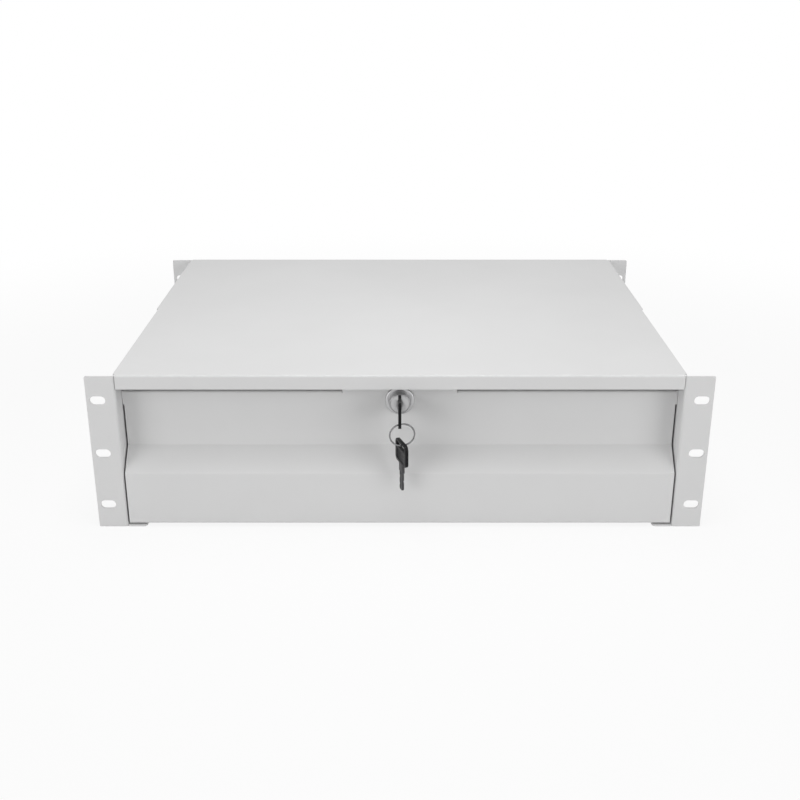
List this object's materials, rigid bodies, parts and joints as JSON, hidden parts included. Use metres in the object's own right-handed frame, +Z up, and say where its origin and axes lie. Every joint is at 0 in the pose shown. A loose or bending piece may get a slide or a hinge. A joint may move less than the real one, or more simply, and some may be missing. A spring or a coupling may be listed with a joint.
{
  "type": "sliding rack drawer",
  "caption": "Sheet-metal rack case with a lockable drawer on telescopic ball slides, a recessed grip, slotted rack ears, adjustable rear brackets and a key with a spare.",
  "frame": {"origin": "centre of the front ears' slot pattern, on the ears' back face, which meets the rack's front posts", "axes": "+X to the right as seen from the front, +Y to the back of the rack, +Z up"},
  "size_m": [0.4826, 0.3799, 0.1292],
  "materials": {
    "case_paint": "satin light grey powder coat",
    "drawer_paint": "satin light grey powder coat",
    "zinc_steel": "bright zinc plate",
    "ball_steel": "polished",
    "buffer_rubber": "matt black",
    "lock_chrome": "satin chrome",
    "key_steel": "dark nickel",
    "key_plastic": "fine matt black",
    "ring_steel": "bright nickel"
  },
  "bodies": {
    "case": {"top_cover": "case_paint", "lock_keeper": "case_paint", "left_side_panel": "case_paint", "left_bracket_bolts": "zinc_steel", "left_bracket_nuts": "zinc_steel", "left_cabinet_rail": "zinc_steel", "left_cabinet_rail_screws": "zinc_steel", "left_rail_buffer": "buffer_rubber", "right_side_panel": "case_paint", "right_bracket_bolts": "zinc_steel", "right_bracket_nuts": "zinc_steel", "right_cabinet_rail": "zinc_steel", "right_cabinet_rail_screws": "zinc_steel", "right_rail_buffer": "buffer_rubber"},
    "drawer": {"drawer_front": "drawer_paint", "drawer_inner_front": "drawer_paint", "drawer_tray": "drawer_paint", "drawer_back": "drawer_paint", "front_studs": "zinc_steel", "front_nuts": "zinc_steel", "lock_housing": "lock_chrome", "lock_nut": "zinc_steel", "left_drawer_rail": "zinc_steel", "left_drawer_rail_screws": "zinc_steel", "right_drawer_rail": "zinc_steel", "right_drawer_rail_screws": "zinc_steel"},
    "lock_cylinder": {"lock_plug": "lock_chrome", "lock_cam": "zinc_steel", "cam_nut": "zinc_steel"},
    "key": {"key_blade": "key_steel", "key_bow": "key_plastic"},
    "key_ring": {"key_ring": "ring_steel"},
    "spare_key": {"spare_key_blade": "key_steel", "spare_key_bow": "key_plastic"},
    "left_bracket": {"left_rear_bracket": "case_paint"},
    "left_middle": {"left_middle_rail": "zinc_steel"},
    "left_outer_cage": {"left_outer_ball_cage": "zinc_steel", "left_outer_balls": "ball_steel"},
    "left_inner_cage": {"left_inner_ball_cage": "zinc_steel", "left_inner_balls": "ball_steel"},
    "right_bracket": {"right_rear_bracket": "case_paint"},
    "right_middle": {"right_middle_rail": "zinc_steel"},
    "right_outer_cage": {"right_outer_ball_cage": "zinc_steel", "right_outer_balls": "ball_steel"},
    "right_inner_cage": {"right_inner_ball_cage": "zinc_steel", "right_inner_balls": "ball_steel"}
  },
  "joints": [
    {"name": "drawer_slide", "type": "slide", "parent": "case", "child": "drawer", "axis": [0, -1, 0], "range_m": [0, 0.34]},
    {"name": "lock_turn", "type": "hinge", "parent": "drawer", "child": "lock_cylinder", "pos_m": [0, 0, 0.0381], "axis": [0, 1, 0], "range_deg": [0, 90]},
    {"name": "key_withdraw", "type": "slide", "parent": "lock_cylinder", "child": "key", "axis": [0, -1, 0], "range_m": [0, 0.03]},
    {"name": "ring_slip", "type": "hinge", "parent": "key", "child": "key_ring", "pos_m": [0.00178, -0.01261, 0.02063], "axis": [0.1375, -0.9781, -0.1564], "range_deg": [0, 90]},
    {"name": "spare_key_swing", "type": "hinge", "parent": "key_ring", "child": "spare_key", "pos_m": [0.00157, -0.01111, 0.0111], "axis": [0.9903, 0.1392, 0], "range_deg": [-25, 5]},
    {"name": "left_middle_slide", "type": "slide", "parent": "case", "child": "left_middle", "axis": [0, -1, 0], "range_m": [0, 0.17]},
    {"name": "left_outer_cage_slide", "type": "slide", "parent": "case", "child": "left_outer_cage", "axis": [0, -1, 0], "range_m": [0, 0.085]},
    {"name": "left_inner_cage_slide", "type": "slide", "parent": "case", "child": "left_inner_cage", "axis": [0, -1, 0], "range_m": [0, 0.255]},
    {"name": "left_bracket_adjust", "type": "slide", "parent": "case", "child": "left_bracket", "axis": [0, 1, 0], "range_m": [0, 0.06]},
    {"name": "right_middle_slide", "type": "slide", "parent": "case", "child": "right_middle", "axis": [0, -1, 0], "range_m": [0, 0.17]},
    {"name": "right_outer_cage_slide", "type": "slide", "parent": "case", "child": "right_outer_cage", "axis": [0, -1, 0], "range_m": [0, 0.085]},
    {"name": "right_inner_cage_slide", "type": "slide", "parent": "case", "child": "right_inner_cage", "axis": [0, -1, 0], "range_m": [0, 0.255]},
    {"name": "right_bracket_adjust", "type": "slide", "parent": "case", "child": "right_bracket", "axis": [0, 1, 0], "range_m": [0, 0.06]}
  ],
  "couplings": [
    {"joint": "ring_slip", "follows": "lock_turn", "ratio": 1},
    {"joint": "left_middle_slide", "follows": "drawer_slide", "ratio": 0.5},
    {"joint": "left_outer_cage_slide", "follows": "drawer_slide", "ratio": 0.25},
    {"joint": "left_inner_cage_slide", "follows": "drawer_slide", "ratio": 0.75},
    {"joint": "right_middle_slide", "follows": "drawer_slide", "ratio": 0.5},
    {"joint": "right_outer_cage_slide", "follows": "drawer_slide", "ratio": 0.25},
    {"joint": "right_inner_cage_slide", "follows": "drawer_slide", "ratio": 0.75}
  ]
}
